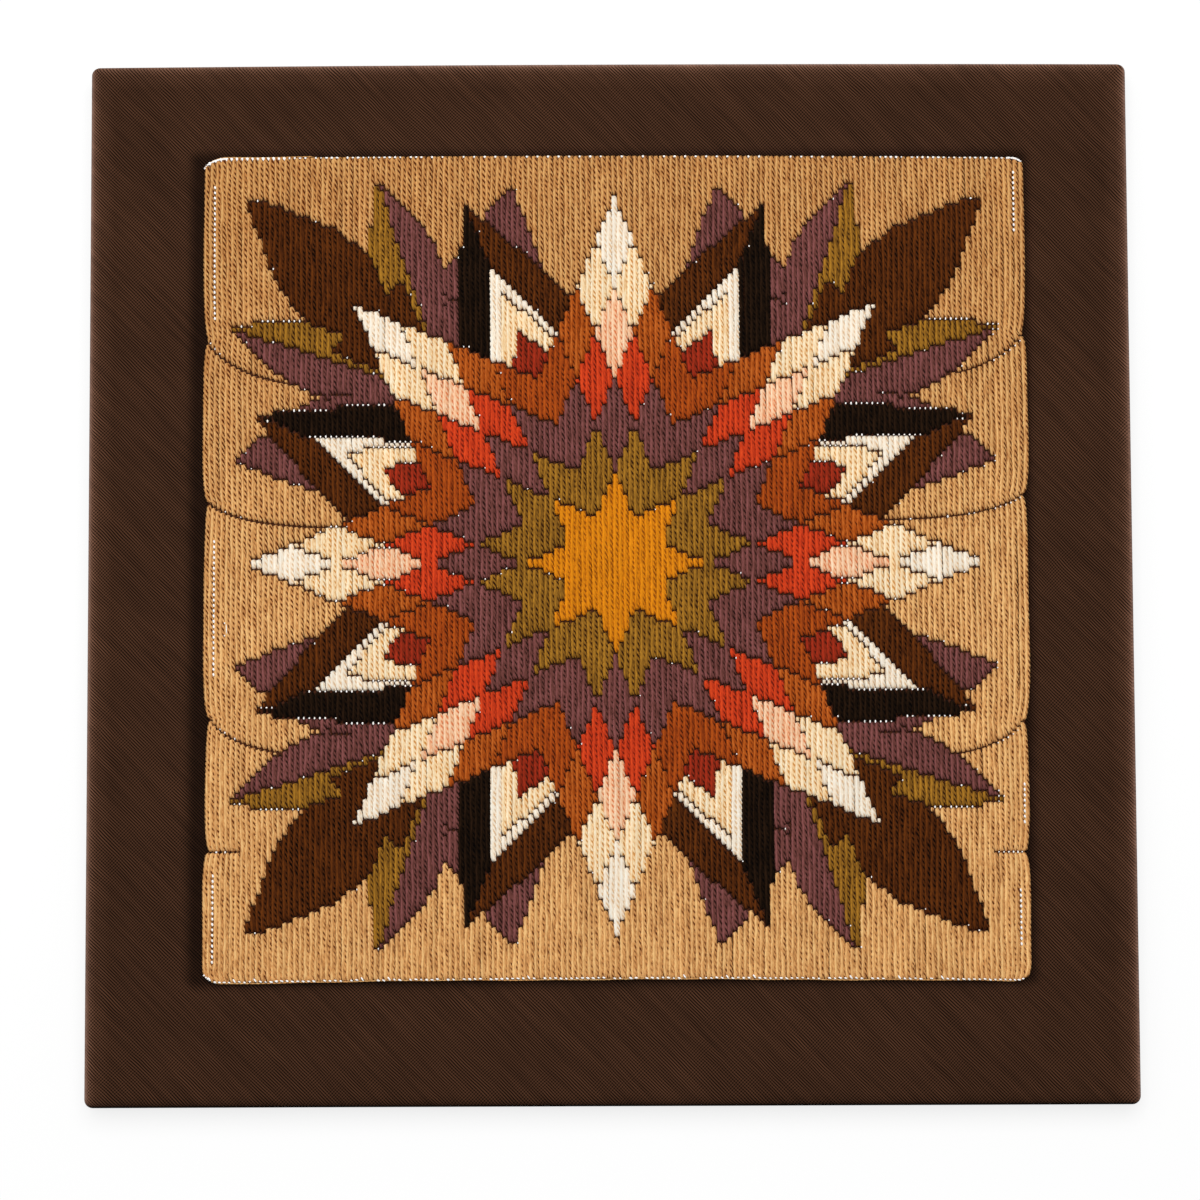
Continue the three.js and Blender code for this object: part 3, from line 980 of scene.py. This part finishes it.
def side_spots():
    """Rows of spots where a thread of the canvas runs bare in a slit beside an edge, the
    thread that shows round the corners, and one that has been pulled."""
    spots = []
    for side, threads_in, start, end, bare in SLITS:
        x = side * (SHEET_HALF_WIDTH - threads_in * THREAD)
        for below in np.arange(start, end if bare else start, THREAD / MM) * MM:
            wide, tall = rng.uniform((0.48, 0.72), (0.58, 0.85))
            spots.append((x, SHEET_HALF - below, wide, tall, 0.15, 0))
    for side, end, start, stop in CORNER_THREADS:
        for inset in np.arange(start, stop, 0.6) * MM:
            x = side * (SHEET_HALF_WIDTH - inset)
            y = edge_height(x, end) - end * 0.7 * MM
            spots.append((x, y, 0.5, rng.uniform(0.3, 0.55), 0, 0))
    # A loop of thread has been pulled up and lies on the wool, between its two holes.
    x, y = PULLED_LOOP
    spots.append((x + 0.9 * MM, y, 0.24, 2.4, 0.04, 0))
    spots.append((x, y + 2.8 * MM, 0.36, 0.42, 0, 0))
    spots.append((x, y - 3.2 * MM, 0.34, 0.42, 0, 0))
    return spots


def canvas_threads(lines):
    """The spots as beads of bare thread, each with its own square on the bake's map."""
    spots = thread_spots(lines) + side_spots()
    bead = bead_shape()
    rows, columns = (np.linspace(0.05, 0.95, count) for count in bead.shape[:2])
    square = np.stack(np.meshgrid(columns, rows), axis=-1)
    side = int(np.ceil(np.sqrt(len(spots))))
    points, quads, bake = [], [], []
    for x, y, wide, tall, lean, taper in spots:
        bake.append((square + divmod(len(bake), side)).reshape(-1, 2) / side)
        centre = (column_x(x, y) + SHEET_CENTRE.x, y + SHEET_CENTRE.y, CROWN + 0.08 * MM)
        across, along, up = np.moveaxis(bead, -1, 0)
        across = across * wide * (1 + taper * along) - along * tall * lean
        up = np.where(up > 0, 0.28 * up, 0.8 * up)  # flat on top, and sunk in the wool
        shaped = np.stack([across, along * tall, up], axis=-1) * MM
        points.append((shaped + centre).reshape(-1, 3))
        quads.append(grid_quads(*bead.shape[:2]) + (len(points) - 1) * bead[..., 0].size)
    return mesh_piece("canvas_threads", np.concatenate(points), np.concatenate(quads),
                      cotton_thread(), maps={"OFBake": np.concatenate(bake)})


# --- the board ------------------------------------------------------------------------

CORNER_POINTS = 7
SIDE_POINTS = 40
TURNED_IN = 45 * MM  # how far the cloth is turned over on to the board's back
CLOTH_STEP = 0.8 * MM  # the step from its cut edge there to the bare board
MITRE_RISE = 0.5 * MM  # how deep the groove of each corner's mitre is


def board_outline():
    """The board's outline at its widest: straight sides, rounded corners, and the head's
    slight bow. The first point is at the start of the lower right corner's arc."""
    straight = BOARD_HALF - BOARD_CORNER
    arcs = []
    for k, (sx, sy) in enumerate(((1, -1), (1, 1), (-1, 1), (-1, -1))):
        angles = (np.linspace(0, 1, CORNER_POINTS) + k - 1) * np.pi / 2
        middle = np.array([sx, sy]) * straight
        arcs.append(middle + BOARD_CORNER * np.stack([np.cos(angles), np.sin(angles)], -1))
    outline = []
    for arc, following in zip(arcs, arcs[1:] + arcs[:1]):
        shares = np.linspace(0, 1, SIDE_POINTS + 2)[1:-1, None]
        outline.extend([*arc, *(arc[-1] + (following[0] - arc[-1]) * shares)])
    outline = np.array(outline)
    head = np.clip(outline[:, 1] / BOARD_HALF, 0, 1) ** 8
    outline[:, 1] -= BOARD_TOP_BOW * head * np.clip((outline[:, 0] / straight) ** 2, 0, 1)
    return outline


def board():
    """The board in its twill: a slab with rounded corners and edges. On its back the cloth
    is turned over all round, mitred at the corners, with an unevenly cut edge."""
    outline = board_outline()
    count = len(outline)
    turn = np.linspace(0, np.pi / 2, 7)
    rounding = [(BOARD_EDGE * (1 - np.sin(t)), BOARD_EDGE * (1 - np.cos(t))) for t in turn]
    flat = 2 * BOARD_EDGE
    # Each ring: how far in from the outline, and how high.
    back = [(TURNED_IN + CLOTH_STEP, CLOTH_STEP), (TURNED_IN, 0.1 * MM),
            (TURNED_IN - CLOTH_STEP, 0), (flat, 0)]
    face = [(inset, BOARD_HIGH.z - rise) for inset, rise in rounding[::-1]]
    rings = back + rounding + face + [(flat, BOARD_HIGH.z)]
    mitre = np.zeros(count)
    mitre[CORNER_POINTS // 2::CORNER_POINTS + SIDE_POINTS] = 1
    uneven = 0.6 * MM * np.sin(np.arange(count) * 0.55) * np.sin(np.arange(count) * 0.23)
    points = []
    for number, (inset, z) in enumerate(rings):
        inset = np.full(count, inset) + (uneven if number < 3 else 0)
        height = z + MITRE_RISE * mitre * (0 < number < 4)
        ring = outline * (1 - inset / BOARD_HALF)[:, None]
        points.append(np.column_stack([ring, np.broadcast_to(height, count)]))
    start = np.arange(count)
    after = np.roll(start, -1)
    quads = [
        np.stack([start, after, after + count, start + count], axis=1) + k * count
        for k in range(len(rings) - 1)
    ]
    caps = [start[::-1], start + (len(rings) - 1) * count]
    return mesh_piece("board_cloth", np.concatenate(points), np.concatenate(quads),
                      cotton_twill(), caps=caps)


# --- stage ----------------------------------------------------------------------------


def pale_floor():
    """A plain white table top. Seen directly it is mostly its own white, so that only a
    faint shadow shows on it."""
    material, tree = new_material("white_table_top")
    path = add_node(tree, "ShaderNodeLightPath")
    seen = path.outputs["Is Camera Ray"]
    for kind in ("Is Glossy Ray", "Is Transmission Ray"):
        seen = add_node(tree, "ShaderNodeMath", [seen, path.outputs[kind]], operation="MAXIMUM")
    share = add_node(tree, "ShaderNodeMath", [seen, 0.8], operation="MULTIPLY")
    matte = add_node(tree, "ShaderNodeBsdfDiffuse", {"Color": linear("#ffffff")})
    white = add_node(tree, "ShaderNodeEmission", {"Color": linear("#ffffff"), "Strength": 1.0})
    finish_material(tree, add_node(tree, "ShaderNodeMixShader", [share, matte, white]))
    half = 4.0
    below_part = -0.2 * MM
    mesh = bpy.data.meshes.new("table_top")
    corners = [(-half, -half), (half, -half), (half, half), (-half, half)]
    mesh.from_pydata([(x, y, below_part) for x, y in corners], [], [(0, 1, 2, 3)])
    mesh.materials.append(material)
    table_top = bpy.data.objects.new("table_top", mesh)
    bpy.context.scene.collection.objects.link(table_top)


def soft_light(name, place, size, energy):
    """A square studio lamp that points at the part's middle."""
    lamp = bpy.data.lights.new(name, "AREA")
    lamp.shape, lamp.size, lamp.energy = "SQUARE", size, energy
    holder = bpy.data.objects.new(name, lamp)
    holder.location = place
    holder.rotation_euler = (-Vector(place)).to_track_quat("-Z", "Y").to_euler()
    bpy.context.scene.collection.objects.link(holder)


def lights():
    """Two soft lamps high above the board, in a studio that is dimly lit all round."""
    soft_light("key", (0.1, 0.65, 1.95), 1.4, 32.5)
    soft_light("fill", (-0.8, 0.4, 1.9), 1.4, 10)
    world = bpy.data.worlds.new("studio")
    world.use_nodes = True
    world.node_tree.nodes.clear()
    tree = world.node_tree
    # Seen directly, the studio is white beyond the table top too.
    seen = add_node(tree, "ShaderNodeLightPath").outputs["Is Camera Ray"]
    strength = add_node(tree, "ShaderNodeMapRange", {"Value": seen, "To Min": 0.26})
    background = add_node(tree, "ShaderNodeBackground", [(1, 1, 1, 1), strength])
    add_node(tree, "ShaderNodeOutputWorld", [background])
    bpy.context.scene.world = world


CAMERA_TILT = np.radians(4.0)
CAMERA_ROLL = np.radians(-0.22)
CAMERA_PLACE = Vector((-5, -10, 1501))  # from the middle of the board's face, in mm


def camera():
    """Looks down at the board's face with its foot a little nearer than its head."""
    lens = bpy.data.cameras.new("camera")
    lens.lens, lens.sensor_width = 94.2, 36
    turned = Matrix.Rotation(CAMERA_TILT, 4, "X") @ Matrix.Rotation(CAMERA_ROLL, 4, "Z")
    face = Vector((0, 0, BOARD_HIGH.z))
    holder = bpy.data.objects.new("camera", lens)
    holder.matrix_world = Matrix.Translation(face + turned @ CAMERA_PLACE * MM) @ turned
    bpy.context.scene.collection.objects.link(holder)
    bpy.context.scene.camera = holder


# --- making ---------------------------------------------------------------------------

camera()
lights()
pale_floor()

covered = board()
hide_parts("covered_board")

chart = star_chart()
split_ground(chart)
wools, stitch_lines = stitches(chart)
threads = canvas_threads(stitch_lines)
canvas = canvas_sheet()
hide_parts("tapestry")

bpy.context.scene.view_settings.view_transform = "Standard"
